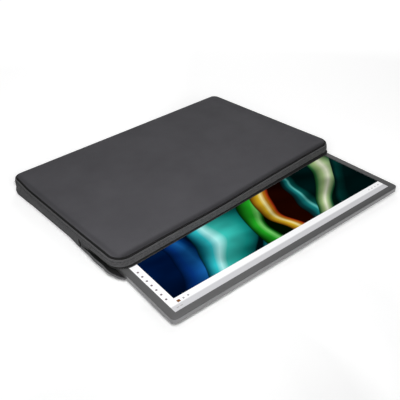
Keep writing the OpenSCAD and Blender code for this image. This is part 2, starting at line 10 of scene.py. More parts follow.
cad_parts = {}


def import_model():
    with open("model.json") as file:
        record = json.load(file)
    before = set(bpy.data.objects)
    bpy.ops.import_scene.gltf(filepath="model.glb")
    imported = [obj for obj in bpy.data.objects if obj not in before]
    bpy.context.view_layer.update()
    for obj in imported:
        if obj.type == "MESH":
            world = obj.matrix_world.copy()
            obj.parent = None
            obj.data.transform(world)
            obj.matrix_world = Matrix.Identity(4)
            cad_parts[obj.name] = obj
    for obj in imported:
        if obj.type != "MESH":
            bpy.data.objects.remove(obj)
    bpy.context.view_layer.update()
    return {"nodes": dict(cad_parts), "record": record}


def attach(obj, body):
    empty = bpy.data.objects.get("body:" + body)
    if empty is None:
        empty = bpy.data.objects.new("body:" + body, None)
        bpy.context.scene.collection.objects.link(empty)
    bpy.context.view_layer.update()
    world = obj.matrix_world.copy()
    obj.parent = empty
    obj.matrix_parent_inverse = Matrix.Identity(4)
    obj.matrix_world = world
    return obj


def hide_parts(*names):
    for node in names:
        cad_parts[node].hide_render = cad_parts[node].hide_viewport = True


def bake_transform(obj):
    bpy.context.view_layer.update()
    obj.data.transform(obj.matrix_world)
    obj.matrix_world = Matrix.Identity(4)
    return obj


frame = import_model()
nodes = frame["nodes"]
slot_of = {part["node"]: part["material_slot"] for part in frame["record"]["subparts"]}
bodies = frame["record"]["behaviour"]["bodies"]
body_of = {node: body for body, members in bodies.items() for node in members}

MM = 0.001
UP = Vector((0, 0, 1))

# ---------- main dimensions, in millimetres ----------

HALF_W, HALF_D = 189.0, 122.0          # half the sleeve's width and depth
NEAR_R, TIGHT_R = 20.0, 14.0           # its front corners and its rear corners
FOLD_Y = -48.0                         # the line through the zip's two ends
FOLD_FIRST, FOLD_LAST = -47.0, -71.0   # where the lifted flap starts and ends its bend
TOP_Z = 24.5                           # height about which the flap bends
FLAT_Z = 24.45                         # the upper skin's flat field
WALL_TOP = 19.2                        # top of the walls, under the piping
SCREEN_W, SCREEN_D = 344.6, 215.4      # lit field of the display


# ---------- camera ----------

PICTURE_PX = 400
FOCAL_PX = 529.28
SENSOR_MM = 36
AZIMUTH, ELEVATION, ROLL = -41.89, 34.32, -1.55
AIM = Vector((-22.86, -69.97, 0))
DISTANCE = 687.95


def make_camera():
    azimuth, elevation, roll = (math.radians(a) for a in (AZIMUTH, ELEVATION, ROLL))
    back = Vector((math.sin(azimuth) * math.cos(elevation),
                   -math.cos(azimuth) * math.cos(elevation), math.sin(elevation)))
    across = (-back).cross(UP).normalized()
    upward = across.cross(-back)
    right = math.cos(roll) * across + math.sin(roll) * upward
    up = -math.sin(roll) * across + math.cos(roll) * upward
    data = bpy.data.cameras.new("camera")
    data.sensor_width = SENSOR_MM
    data.lens = SENSOR_MM * FOCAL_PX / PICTURE_PX
    data.clip_start, data.clip_end = 0.01, 50
    camera = bpy.data.objects.new("camera", data)
    bpy.context.scene.collection.objects.link(camera)
    turn = Matrix((right, up, back)).transposed().to_4x4()
    camera.matrix_world = Matrix.Translation((AIM + back * DISTANCE) * MM) @ turn
    bpy.context.scene.camera = camera


# ---------- finishes ----------

class Nodes:
    """A node tree, with short calls to add to it."""

    def __init__(self, tree):
        self.tree = tree

    def add(self, kind, inputs=(), **settings):
        node = self.tree.nodes.new("ShaderNode" + kind)
        for name, value in settings.items():
            setattr(node, name, value)
        for socket, value in dict(inputs).items():
            self.put(node.inputs[socket], value)
        return node

    def put(self, socket, value):
        if isinstance(value, bpy.types.NodeSocket):
            self.tree.links.new(value, socket)
        else:
            socket.default_value = value

    def maths(self, operation, *values, clamp=False):
        node = self.add("Math", dict(enumerate(values)), operation=operation, use_clamp=clamp)
        return node.outputs[0]

    def ramp(self, factor, stops):
        """Shades that follow a factor. A stop's colour is red, green and blue, or one number for a grey."""
        node = self.add("ValToRGB", {"Fac": factor})
        elements = node.color_ramp.elements
        while len(elements) < len(stops):
            elements.new(0.5)
        for element, (place, colour) in zip(elements, stops):
            element.position = place
            element.color = (*colour, 1) if isinstance(colour, tuple) else (colour, colour, colour, 1)
        return node.outputs["Color"]

    def mix(self, factor, first, second, kind="MIX"):
        node = self.add("Mix", data_type="RGBA", blend_type=kind, clamp_factor=True)
        for socket, value in ((0, factor), (6, first), (7, second)):
            self.put(node.inputs[socket], value)
        return node.outputs[2]

    def seen(self):
        """1 for what is seen, straight or by way of metal and glass, and 0 for what only gives light."""
        path = self.add("LightPath")
        rays = [path.outputs["Is %s Ray" % kind] for kind in ("Camera", "Glossy", "Transmission")]
        return self.maths("MAXIMUM", self.maths("MAXIMUM", rays[0], rays[1]), rays[2])


class Finish(Nodes):
    """A material under construction."""

    def __init__(self, name, **constants):
        self.material = bpy.data.materials.new(name)
        self.material.use_nodes = True
        super().__init__(self.material.node_tree)
        self.shader = self.tree.nodes["Principled BSDF"]
        for socket, value in constants.items():
            self.shader.inputs[socket.replace("_", " ")].default_value = value

    def place(self, scale):
        where = self.add("TexCoord").outputs["Object"]
        return self.add("Mapping", {"Vector": where, "Scale": scale}).outputs[0]

    def millimetres(self):
        """Separate x, y and z of the place on the piece."""
        return self.add("SeparateXYZ", {0: self.place((1 / MM,) * 3)}).outputs

    def noise(self, size_mm, detail=2.0, stretch=(1, 1, 1)):
        scale = tuple(1000 / size_mm * s for s in stretch)
        node = self.add("TexNoise", {"Vector": self.place(scale), "Scale": 1.0, "Detail": detail})
        return node.outputs["Fac"]

    def colour(self, value):
        self.put(self.shader.inputs["Base Color"], value)

    def shades(self, factor, colour, low, high):
        """Runs between a darker and a lighter version of one colour."""
        dark, light = (tuple(c * share for c in colour) for share in (low, high))
        return self.ramp(factor, [(0.3, dark), (0.7, light)])

    def roughness(self, factor, low, high):
        node = self.add("MapRange", {"Value": factor, "To Min": low, "To Max": high})
        self.put(self.shader.inputs["Roughness"], node.outputs[0])

    def bump(self, height, depth_mm, strength, below=None):
        inputs = {"Height": height, "Distance": depth_mm * MM, "Strength": strength}
        if below is not None:
            inputs["Normal"] = below
        node = self.add("Bump", inputs)
        self.put(self.shader.inputs["Normal"], node.outputs[0])
        return node.outputs[0]


def grey(value, cool=0.0):
    """A grey, a little cooler or warmer than neutral."""
    return (value * (1 - 0.3 * cool), value * (1 - 0.6 * cool), value * (1 + cool))


# Painted shade where the skin rolls into its seam, by distance from the outline as a share of its reach.
SEAM_SHADE_REACH = 16.0
FRONT_SEAM_SHADE = [(0.25, 0.52), (0.33, 0.45), (0.41, 0.55), (0.5, 0.72), (0.58, 0.88), (0.69, 1.0)]
SIDE_SEAM_SHADE = [(0.29, 1.0), (0.39, 0.85), (0.52, 0.84), (0.72, 1.0)]


def painted_seam_shade(f):
    """Painted shade: darkens a skin's colour where it rolls into its seam, along the front, and a little at
    the sides.
    """
    x, y, _ = f.millimetres()
    front = f.maths("ADD", y, HALF_D)
    side = f.maths("SUBTRACT", HALF_W, f.maths("ABSOLUTE", x))
    front_shade, side_shade = (f.ramp(f.maths("DIVIDE", inwards, SEAM_SHADE_REACH), stops)
                               for inwards, stops in ((front, FRONT_SEAM_SHADE), (side, SIDE_SEAM_SHADE)))
    return f.mix(1.0, front_shade, side_shade, "MULTIPLY")


def cloth(name, colour, thread_mm, rough=(0.62, 0.8), patch_mm=45, uneven=0.09, sheen=0.12, depth_mm=0.05,
          edge=None):
    """Woven cloth: crossed threads, slight unevenness and a soft sheen."""
    f = Finish(name, Sheen_Weight=sheen, Sheen_Roughness=0.5, Specular_IOR_Level=0.06,
               Diffuse_Roughness=1.0)
    threads = f.add("SeparateXYZ", {0: f.place((2 * math.pi / (thread_mm * MM),) * 3)})
    waves = [f.maths("SINE", threads.outputs[i]) for i in range(3)]
    weave = f.maths("ADD", f.maths("MULTIPLY", waves[0], waves[1]), waves[2])
    fuzz = f.noise(0.9, 3)
    base = f.shades(f.noise(patch_mm, 3), colour, 1 - uneven, 1 + uneven)
    dark = f.ramp(fuzz, [(0.25, 0.84), (0.75, 1.0)])
    # Painted shade along the seam, where one is given.
    if edge:
        dark = f.mix(1.0, dark, edge(f), "MULTIPLY")
    f.colour(f.mix(1.0, base, dark, "MULTIPLY"))
    f.roughness(fuzz, *rough)
    body = f.bump(fuzz, 0.05, 0.5)
    f.bump(weave, depth_mm, 0.35, below=body)
    return f.material


def moulded(name, colour, rough=(0.38, 0.5), grain_mm=0.35, depth_mm=0.01, specular=0.4, metallic=0.0):
    """Moulded or painted surface with a fine grain and faint wear in its gloss."""
    f = Finish(name, Specular_IOR_Level=specular, Metallic=metallic)
    grain = f.noise(grain_mm)
    smudge = f.noise(28, 4)
    f.colour(f.shades(smudge, colour, 0.95, 1.05))
    f.roughness(smudge, *rough)
    f.bump(grain, depth_mm, 0.4)
    return f.material


def brushed(name, colour):
    """Metal with fine lines along its length."""
    f = Finish(name, Metallic=1.0)
    lines = f.noise(0.5, 3, stretch=(1, 0.04, 1))
    f.colour(f.shades(lines, colour, 0.88, 1.08))
    f.roughness(lines, 0.28, 0.42)
    f.bump(lines, 0.008, 0.4)
    return f.material


def circuit(name):
    """Green board with fine tracks and tinned pads."""
    f = Finish(name, Specular_IOR_Level=0.5)
    board, track, tin = (0.008, 0.07, 0.03, 1), (0.02, 0.16, 0.07, 1), (0.5, 0.48, 0.42, 1)
    cells = f.add("TexVoronoi", {"Vector": f.place((380, 380, 60)), "Scale": 1.0},
                  feature="DISTANCE_TO_EDGE", distance="MANHATTAN")
    tracks = f.maths("LESS_THAN", cells.outputs["Distance"], 0.05)
    pads = f.maths("GREATER_THAN", f.noise(2.2, 1), 0.68)
    f.colour(f.mix(pads, f.mix(tracks, board, track), tin))
    f.roughness(f.noise(3), 0.25, 0.45)
    f.bump(tracks, 0.03, 0.5)
    return f.material


def tape_cloth(name, colour):
    """Zip tape: a narrow herringbone of light and dark threads."""
    thread_mm, turn_mm = 0.9, 0.6
    f = Finish(name, Specular_IOR_Level=0.04)
    x, y, z = f.millimetres()
    zigzag = f.maths("PINGPONG", z, turn_mm)
    across = f.maths("ADD", f.maths("ADD", x, y), zigzag)
    rib = f.maths("SINE", f.maths("MULTIPLY", across, 2 * math.pi / thread_mm))
    speck = f.noise(1.1)
    level = f.maths("ADD", f.maths("MULTIPLY", rib, 0.25), speck)
    dark, light = (tuple(c * share for c in colour) for share in (0.55, 1.5))
    f.colour(f.ramp(level, [(0.3, dark), (0.75, light)]))
    f.roughness(speck, 0.6, 0.85)
    f.bump(level, 0.08, 0.6)
    return f.material


# ---------- picture on the display ----------

EMITTED, REFLECTED = 0.75, 0.25                   # shares of the picture's light
STRIP_LEFT, STRIP_LOW = 10.3, 16.8                # widths of the two pale strips, in millimetres
PALE, DIM = (0.93, 0.93, 0.94), (0.58, 0.58, 0.60)
GROUND = [(0.0, (0.000, 0.002, 0.008)), (0.35, (0.000, 0.008, 0.050)), (0.7, (0.002, 0.040, 0.130)),
          (1.0, (0.000, 0.004, 0.016))]

# Folds of light across the display: place, lean, swing, turns, phase, width, and shades from edge to edge.
FOLDS = [
    (0.05, 0.16, 0.030, 6.0, 0.4, 0.13,
     [(0, (0.000, 0.004, 0.020)), (0.25, (0.002, 0.030, 0.170)), (0.55, (0.008, 0.100, 0.330)),
      (0.8, (0.000, 0.020, 0.100)), (1, (0.000, 0.003, 0.014))]),
    (0.135, 0.30, 0.028, 5.2, 2.0, 0.22,
     [(0, (0.000, 0.006, 0.012)), (0.06, (0.004, 0.120, 0.170)), (0.2, (0.030, 0.520, 0.560)),
      (0.3, (0.450, 0.900, 0.880)), (0.42, (0.040, 0.480, 0.420)), (0.75, (0.006, 0.220, 0.190)),
      (0.96, (0.002, 0.070, 0.070)), (1, (0.000, 0.006, 0.008))]),
    (0.335, 0.40, 0.030, 6.2, 0.6, 0.12,
     [(0, (0.000, 0.010, 0.012)), (0.1, (0.004, 0.130, 0.150)), (0.45, (0.020, 0.420, 0.450)),
      (0.62, (0.220, 0.760, 0.760)), (0.8, (0.010, 0.240, 0.230)), (1, (0.000, 0.010, 0.010))]),
    (0.425, 0.14, 0.032, 6.4, 3.4, 0.085,
     [(0, (0.000, 0.006, 0.000)), (0.14, (0.004, 0.090, 0.004)), (0.5, (0.020, 0.420, 0.020)),
      (0.72, (0.200, 0.700, 0.160)), (0.9, (0.004, 0.110, 0.006)), (1, (0.000, 0.004, 0.000))]),
    (0.512, 0.12, 0.026, 5.5, 2.7, 0.075,
     [(0, (0.010, 0.004, 0.000)), (0.12, (0.280, 0.120, 0.004)), (0.4, (0.680, 0.430, 0.020)),
      (0.55, (0.860, 0.760, 0.330)), (0.72, (0.450, 0.190, 0.008)), (0.9, (0.330, 0.030, 0.006)),
      (1, (0.010, 0.001, 0.000))]),
    (0.585, 0.26, 0.030, 5.0, 1.2, 0.085,
     [(0, (0.002, 0.002, 0.002)), (0.2, (0.002, 0.040, 0.044)), (0.42, (0.010, 0.230, 0.230)),
      (0.52, (0.120, 0.560, 0.520)), (0.64, (0.002, 0.080, 0.070)), (1, (0.000, 0.008, 0.008))]),
    (0.655, 0.44, 0.026, 6.6, 5.0, 0.115,
     [(0, (0.000, 0.006, 0.002)), (0.1, (0.020, 0.110, 0.030)), (0.35, (0.330, 0.460, 0.200)),
      (0.55, (0.780, 0.820, 0.620)), (0.7, (0.360, 0.500, 0.240)), (0.9, (0.020, 0.110, 0.040)),
      (1, (0.000, 0.006, 0.004))]),
    (0.76, 0.52, 0.022, 5.4, 4.2, 0.25,
     [(0, (0.000, 0.004, 0.004)), (0.1, (0.001, 0.030, 0.026)), (0.3, (0.000, 0.006, 0.006)),
      (1, (0.000, 0.004, 0.004))]),
]

# Plain marks on the strips, without meaning: a column of dots, and bars with left, right, low, high, shade.
DOTS = {"mid_x": 3.9, "first": 20.6, "last": 72.0, "pitch": 8.57, "radius": 1.25}
DOT_SHADE = (0.16, 0.12, 0.14, 1)
BARS = [(10.4, 14.2, 9.6, 12.9, (0.20, 0.075, 0.02)), (17.5, 19.6, 10.3, 12.4, (0.35,) * 3),
        (23.5, 25.6, 10.5, 12.6, (0.35,) * 3), (5.0, 8.0, 4.0, 5.0, (0.35,) * 3),
        (9.5, 12.5, 4.0, 5.0, (0.35,) * 3), (318.0, 320.0, 11.0, 12.6, (0.55,) * 3),
        (324.0, 326.4, 11.0, 12.6, (0.5,) * 3), (330.5, 332.5, 11.0, 12.6, (0.55,) * 3),
        (336.5, 339.0, 11.0, 12.6, (0.5,) * 3)]


def fold_of_light(f, u, v, drift, number, fold, picture):
    """Lays one fold over the picture: its first edge waves up the screen, and its shades swell and thin."""
    place, lean, swing, turns, phase, width, shades = fold
    wave = f.maths("MULTIPLY", f.maths("SINE", f.maths("MULTIPLY_ADD", v, turns, phase)), swing)
    edge = f.maths("ADD", f.maths("MULTIPLY_ADD", v, lean, place), f.maths("ADD", wave, drift))
    past = f.maths("SUBTRACT", u, edge)
    inside = f.maths("MULTIPLY_ADD", past, 260.0, 0.5, clamp=True)
    beat = f.maths("SINE", f.maths("MULTIPLY_ADD", v, turns * 1.7, phase * 2 + number))
    swell = f.maths("MULTIPLY_ADD", beat, 0.25, 1.0)
    shade = f.ramp(f.maths("DIVIDE", past, f.maths("MULTIPLY", swell, width)), shades)
    return f.mix(inside, picture, shade)


def screen_picture():
    """A lit display: broad folds of coloured light, with two plain pale strips that hold small marks."""
    f = Finish("lit_display", Roughness=0.35, Specular_IOR_Level=0.0, Emission_Strength=EMITTED)
    where = f.add("UVMap", uv_map="display").outputs[0]
    u, v, _ = f.add("SeparateXYZ", {0: where}).outputs

    def cloud(scale, detail, low, high):
        noise = f.add("TexNoise", {"Vector": where, "Scale": scale, "Detail": detail}).outputs["Fac"]
        return f.add("MapRange", {"Value": noise, "From Min": 0.35, "From Max": 0.65, "To Min": low,
                                  "To Max": high}).outputs[0]

    def step(value, edge, soft=0.25):
        return f.maths("MULTIPLY_ADD", f.maths("SUBTRACT", value, edge), 1 / soft, 0.5, clamp=True)

    def before(value, edge):
        return f.maths("SUBTRACT", 1.0, step(value, edge))

    def between(value, low, high):
        return f.maths("MULTIPLY", step(value, low), before(value, high))

    def dots(mid_x, first, last, pitch, radius):
        row = f.maths("PINGPONG", f.maths("SUBTRACT", y, first), pitch / 2)
        squares = (f.maths("POWER", offset, 2.0) for offset in (f.maths("SUBTRACT", x, mid_x), row))
        near = f.maths("SUBTRACT", 1.0, step(f.maths("SQRT", f.maths("ADD", *squares)), radius, 0.5))
        return f.maths("MULTIPLY", near, between(y, first - pitch / 2, last + pitch / 2))

    drift = cloud(3.0, 1.0, -0.016, 0.016)
    picture = f.ramp(v, GROUND)
    for number, fold in enumerate(FOLDS):
        picture = fold_of_light(f, u, v, drift, number, fold, picture)
    glow = cloud(5.5, 1.5, 0.45, 1.12)
    picture = f.mix(1.0, picture, f.add("CombineXYZ", {0: glow, 1: glow, 2: glow}).outputs[0], "MULTIPLY")
    x, y = f.maths("MULTIPLY", u, SCREEN_W), f.maths("MULTIPLY", v, SCREEN_D)
    picture = f.mix(before(x, STRIP_LEFT), picture, (*PALE, 1))
    picture = f.mix(dots(**DOTS), picture, DOT_SHADE)
    low_shade = f.ramp(f.maths("DIVIDE", y, STRIP_LOW), [(0.44, DIM), (0.56, PALE)])
    picture = f.mix(before(y, STRIP_LOW), picture, low_shade)
    for x0, x1, y0, y1, ink in BARS:
        mark = f.maths("MULTIPLY", between(x, x0, x1), between(y, y0, y1))
        picture = f.mix(mark, picture, (*ink, 1))
    f.colour(f.mix(REFLECTED, (0, 0, 0, 1), picture))
    f.put(f.shader.inputs["Emission Color"], picture)
    return f.material


SMOOTH_CLOTH = {"rough": (0.5, 0.65), "sheen": 0.1}
finish = {
    # The skin's colour carries painted shade along its seam.
    "sleeve_skin": cloth("sleeve_skin", grey(0.062, 0.06), 0.8, sheen=0.02, edge=painted_seam_shade),
    "sleeve_band": cloth("sleeve_band", grey(0.054, 0.02), 0.8, patch_mm=2.6, uneven=0.24, sheen=0.05),
    "piping": cloth("piping", grey(0.064, 0.02), 0.7, **SMOOTH_CLOTH),
    "binding": cloth("binding", grey(0.085, 0.01), 0.9, patch_mm=3, uneven=0.14, depth_mm=0.1,
                     **SMOOTH_CLOTH),
    "foam": cloth("foam", grey(0.02), 1.6, depth_mm=0.12),
    "lining": cloth("lining", grey(0.010), 0.9, rough=(0.75, 0.9), sheen=0.05),
    # Near-black: partly the tape's own colour, partly painted shade where the upper strip lies over the
    # screen in the flap's shadow.
    "zip_tape": tape_cloth("zip_tape", grey(0.012)),
    "thread": cloth("thread", grey(0.06), 0.35, rough=(0.5, 0.7)),
    "teeth": moulded("teeth", grey(0.045), rough=(0.3, 0.45), specular=0.2),
    "zip_metal": brushed("zip_metal", grey(0.18)),
    "monitor_shell": moulded("monitor_shell", grey(0.19, 0.01), rough=(0.28, 0.38), specular=0.3,
                             metallic=0.5),
    "bezel": moulded("bezel", grey(0.069, 0.01), rough=(0.42, 0.55), specular=0.12),
    "lit_display": screen_picture(),
    "screen_glass": moulded("screen_glass", grey(0.006), rough=(0.2, 0.3)),
    "films": moulded("films", grey(0.75), rough=(0.5, 0.7)),
    "light_guide": moulded("light_guide", (0.7, 0.8, 0.82), rough=(0.08, 0.16)),
    "reflector": moulded("reflector", grey(0.85), rough=(0.4, 0.6)),
    "led_strip": moulded("led_strip", (0.8, 0.66, 0.28), rough=(0.3, 0.4)),
    "tray_metal": brushed("tray_metal", grey(0.45)),
    "circuit_board": circuit("circuit_board"),
    "shield_metal": brushed("shield_metal", grey(0.6)),
    "flex": moulded("flex", (0.42, 0.2, 0.045), rough=(0.25, 0.4)),
    "flat_cable": moulded("flat_cable", (0.6, 0.58, 0.5), rough=(0.4, 0.5)),
    "socket_metal": brushed("socket_metal", grey(0.55)),
    "light_pipe": moulded("light_pipe", (0.7, 0.85, 0.72), rough=(0.3, 0.4)),
    "screw_steel": brushed("screw_steel", grey(0.09)),
    "foot_rubber": moulded("foot_rubber", grey(0.018), rough=(0.7, 0.85), grain_mm=0.8, depth_mm=0.04),
    "hinge_steel": brushed("hinge_steel", grey(0.4)),
    "stand_shell": moulded("stand_shell", grey(0.22, 0.01), rough=(0.34, 0.46), metallic=0.6),
    "button": moulded("button", grey(0.12), rough=(0.35, 0.45)),
}
for name, node in nodes.items():
    node.data.materials.clear()
    node.data.materials.append(finish[slot_of[name]])


# ---------- making pieces ----------

def made(name, bm, slots, sharp=40):
    """Turns a bmesh in millimetres into an object in metres, with its finishes."""
    bmesh.ops.remove_doubles(bm, verts=bm.verts, dist=0.001)
    bmesh.ops.scale(bm, vec=(MM, MM, MM), verts=bm.verts)
    mesh = bpy.data.meshes.new(name)
    bm.to_mesh(mesh)
    bm.free()
    mesh.shade_smooth()
    mesh.set_sharp_from_angle(angle=math.radians(sharp))
    for slot in slots:
        mesh.materials.append(finish[slot])
    thing = bpy.data.objects.new(name, mesh)
    bpy.context.scene.collection.objects.link(thing)
    return thing


def thicken(thing, thickness_mm):
    """Gives a skin its wall, inwards."""
    wall = thing.modifiers.new("wall", "SOLIDIFY")
    wall.thickness = thickness_mm * MM
    wall.offset = -1
    wall.use_even_offset = True
    return thing


def closed(bm):
    bmesh.ops.remove_doubles(bm, verts=bm.verts, dist=0.001)
    bmesh.ops.recalc_face_normals(bm, faces=bm.faces)
    return bm


def smooth(t):
    """0 up to t = 0, 1 from t = 1, and a soft rise between."""
    t = max(0.0, min(1.0, t))
    return t * t * (3 - 2 * t)


def curve(table, s):
    """Reads a smooth curve from a table of places and values."""
    for (s0, v0), (s1, v1) in zip(table, table[1:]):
        if s < s1:
            return v0 + (v1 - v0) * smooth((s - s0) / (s1 - s0))
    return table[-1][1]


# ---------- the sleeve's outline ----------

CORNER_R = {(-1, -1): NEAR_R, (-1, 1): TIGHT_R, (1, 1): TIGHT_R, (1, -1): NEAR_R}
CORNER_STEPS = 14
SIDE_GO = HALF_D + FOLD_Y - NEAR_R
MOUTH_GO = 2 * (HALF_W - NEAR_R)
REAR_GO = HALF_D - FOLD_Y - TIGHT_R
BACK_GO = 2 * (HALF_W - TIGHT_R)

# Legs of a way round the outline: straight ones with length and steps, and quarter turns with their radius.
FRONT_LEGS = [("go", SIDE_GO, 20), ("turn", NEAR_R), ("go", MOUTH_GO, 28), ("turn", NEAR_R),
              ("go", SIDE_GO, 20)]
REAR_LEGS = [("go", REAR_GO, 14), ("turn", TIGHT_R), ("go", BACK_GO, 28), ("turn", TIGHT_R),
             ("go", REAR_GO, 14)]
LOOP_LEGS = [("go", REAR_GO + SIDE_GO, 34), ("turn", TIGHT_R), ("go", BACK_GO, 56), ("turn", TIGHT_R),
             ("go", REAR_GO + SIDE_GO, 34), ("turn", NEAR_R), ("go", MOUTH_GO, 54), ("turn", NEAR_R)]


def length_of(legs):
    return sum(math.pi / 2 * leg[1] if leg[0] == "turn" else leg[1] for leg in legs)


FRONT_LENGTH = length_of(FRONT_LEGS)


def stations(legs):
    """Distances along the outline at which a cross-section is set."""
    begun, places = 0, [0]
    for leg in legs:
        length, steps = leg[1:] if leg[0] == "go" else (math.pi / 2 * leg[1], CORNER_STEPS)
        places += [begun + length * (i + 1) / steps for i in range(steps)]
        begun += length
    return places


def run(bm, profile, start, outward, legs, ring=True):
    """Draws a cross-section along the outline. Its points are (outwards, height) in millimetres."""
    last = None
    for s in stations(legs):
        x, y, nx, ny = point_on(legs, start, outward, s)
        row = [bm.verts.new((x + nx * out, y + ny * out, z)) for out, z in profile]
        if last:
            pairs = list(zip(last, row))
            beside = pairs[1:] + (pairs[:1] if ring else [])
            for (a, b), (c, d) in zip(pairs, beside):
                bm.faces.new((a, b, d, c))
        last = row
    return bm


def front_run(bm, profile):
    return run(bm, profile, (-HALF_W, FOLD_Y), (-1, 0), FRONT_LEGS)


def rear_run(bm, profile):
    return run(bm, profile, (HALF_W, FOLD_Y), (1, 0), REAR_LEGS)


def loop_run(bm, profile, ring=True):
    run(bm, profile, (HALF_W, -HALF_D + NEAR_R), (1, 0), LOOP_LEGS, ring)
    bmesh.ops.remove_doubles(bm, verts=bm.verts, dist=0.001)
    return bm


def point_on(legs, start, outward, s):
    """Place on the outline at a distance along it: x, y, outward direction."""
    x, y = start
    nx, ny = outward
    for leg in legs:
        if leg[0] == "go":
            part = min(max(s, 0), leg[1])
            if s <= leg[1]:
                return x - ny * part, y + nx * part, nx, ny
            x, y = x - ny * leg[1], y + nx * leg[1]
            s -= leg[1]
        else:
            size = math.pi / 2 * leg[1]
            cx, cy = x - nx * leg[1], y - ny * leg[1]
            angle = min(s, size) / leg[1]
            c, sn = math.cos(angle), math.sin(angle)
            ox, oy = nx * c - ny * sn, nx * sn + ny * c
            if s <= size:
                return cx + ox * leg[1], cy + oy * leg[1], ox, oy
            nx, ny = -ny, nx
            x, y = cx + nx * leg[1], cy + ny * leg[1]
            s -= size
    return x, y, nx, ny


def front_point(s):
    return point_on(FRONT_LEGS, (-HALF_W, FOLD_Y), (-1, 0), s)


def rear_point(s):
    return point_on(REAR_LEGS, (HALF_W, FOLD_Y), (1, 0), s)


def front_place(x, y):
    """Distance of a point along the zip's run, from its left end. Behind that end it is negative."""
    dx, dy = abs(x) - HALF_W + NEAR_R, -y - HALF_D + NEAR_R
    if dx > 0 and dy > 0:
        s = SIDE_GO + NEAR_R * math.atan2(dy, dx)
    elif dx >= dy:
        s = FOLD_Y - y
    else:
        s = SIDE_GO + NEAR_R * math.pi / 2 - dx
    return s if x < 0 else FRONT_LENGTH - s


def outline_place(x, y):
    """How far a point stands outside the outline, and its outward direction."""
    sx, sy = (1 if x >= 0 else -1), (1 if y >= 0 else -1)
    radius = CORNER_R[sx, sy]
    dx, dy = abs(x) - HALF_W + radius, abs(y) - HALF_D + radius
    if dx > 0 and dy > 0:
        away = Vector((dx * sx, dy * sy))
        return away.length - radius, away.normalized()
    if dx >= dy:
        return dx - radius, Vector((sx, 0))
    return dy - radius, Vector((0, sy))


def cap_ends(bm):
    rim = [e for e in bm.edges if e.is_boundary]
    bmesh.ops.holes_fill(bm, edges=rim, sides=0)
    return bm


def fill_loop(bm, height):
    """Closes the loop that lies at a height with one face."""
    rim = [e for e in bm.edges if e.is_boundary and all(abs(v.co.z - height) < 0.01 for v in e.verts)]
    bmesh.ops.contextual_create(bm, geom=rim)


UNCUT_RIM = 15          # the cuts of a panel keep this far from the outline
FOLD_CUTS = 10


def net_cuts(bm, x_step=21, y_step=12):
    """Cuts a panel across both ways, more finely where it folds."""
    reach_x, reach_y = int((HALF_W - UNCUT_RIM) / x_step), int((HALF_D - UNCUT_RIM) / y_step)
    fold_step = (FOLD_FIRST - FOLD_LAST) / FOLD_CUTS
    xs = [i * x_step for i in range(-reach_x, reach_x + 1)]
    ys = [i * y_step for i in range(-reach_y, reach_y + 1)]
    ys += [FOLD_FIRST - fold_step * i for i in range(FOLD_CUTS + 1)]
    for normal, places in (((1, 0, 0), xs), ((0, 1, 0), sorted(ys))):
        for place in places:
            bmesh.ops.bisect_plane(bm, geom=bm.verts[:] + bm.edges[:] + bm.faces[:],
                                   plane_co=Vector(normal) * place, plane_no=normal, dist=0.0005)


def edge_faces(bm, chosen):
    """Gives the second finish to faces chosen by their place across the outline, height and facing."""
    for face in bm.faces:
        middle = face.calc_center_median()
        out, away = outline_place(middle.x, middle.y)
        facing = face.normal.x * away.x + face.normal.y * away.y
        face.material_index = int(chosen(out, middle.z, facing))
    return bm


# ---------- how the sleeve lies ----------

REST_LIFT = math.radians(0.26)         # the flap's turn at rest
FOOT_Z = 4.0                           # height up to which the walls stay as they are
SEAM_IN = 4.0                          # the upper seam lies this far inside the outline
HELD_RIM = 6.0                         # and holds the skin this far in
SEAM_RISE = 3.3                        # the seam's extra height at the back and the right
RISE_FROM, RISE_WIDTH = -60.0, 235.0   # where that rise starts, in x and y, and its run in x
MIDDLE_RISE = 0.45                     # share of it that the panel inside the seam keeps
MOUTH_SAG = 1.4                        # how far the flap's edge hangs in the mouth
SAG_X, SAG_WIDTH = -40.0, 60.0         # the sag's middle and width
SAG_FROM, SAG_RUN = 60.0, 50.0         # it grows from here towards the front
CORNER_PULL = 2.0                      # how far the back left corner is drawn in
PULL_LEFT, PULL_LEFT_RUN = 120.0, 60.0
PULL_BACK, PULL_BACK_RUN = 70.0, 45.0

# Push of the left side's foot outwards, by distance along the zip's run.
BULGE = [(-170, 0.9), (-140, 0.6), (-115, 0.0), (-30, 0.0), (0, 1.9), (17, 2.5), (32, 3.7), (54, 3.5),
         (64, 4.1), (74, 7.5), (84, 3.0), (150, 0.0)]
BULGE_END = 150                        # the push ends here
BULGE_RIM = 16                         # and reaches this far in from the outline


def raised(x, y, z):
    """Extra height of the upper pieces: a higher seam at the back and the right, and a sag in the mouth."""
    out, _ = outline_place(x, y)
    backward = max(0.0, min(1.0, (y - RISE_FROM) / (HALF_D - RISE_FROM))) ** 2
    rightward = smooth((x - RISE_FROM) / RISE_WIDTH)
    rise = SEAM_RISE * (rightward + (1 - rightward) * backward)
    rise *= 1 - (1 - MIDDLE_RISE) * smooth((-out - SEAM_IN) / 20)
    rise -= MOUTH_SAG * math.exp(-((x - SAG_X) / SAG_WIDTH) ** 2) * smooth((-y - SAG_FROM) / SAG_RUN)
    return rise * smooth((z - FOOT_Z) / 13)


def settle(bm):
    """Lays the upper panel as it rests: fuller at the back, and a little open in front with a soft bend."""
    for v in bm.verts:
        v.co.z += raised(*v.co)
        x, y, z = v.co
        backward = smooth((y - PULL_BACK) / PULL_BACK_RUN)
        leftward = smooth((-x - PULL_LEFT) / PULL_LEFT_RUN)
        v.co.x += CORNER_PULL * backward * leftward * smooth((z - FOOT_Z) / 8)
        angle = REST_LIFT * smooth((FOLD_FIRST - y) / (FOLD_FIRST - FOLD_LAST))
        if angle:
            y, z = y - FOLD_Y, z - TOP_Z
            v.co.y = FOLD_Y + y * math.cos(angle) + z * math.sin(angle)
            v.co.z = TOP_Z - y * math.sin(angle) + z * math.cos(angle)
    return bm


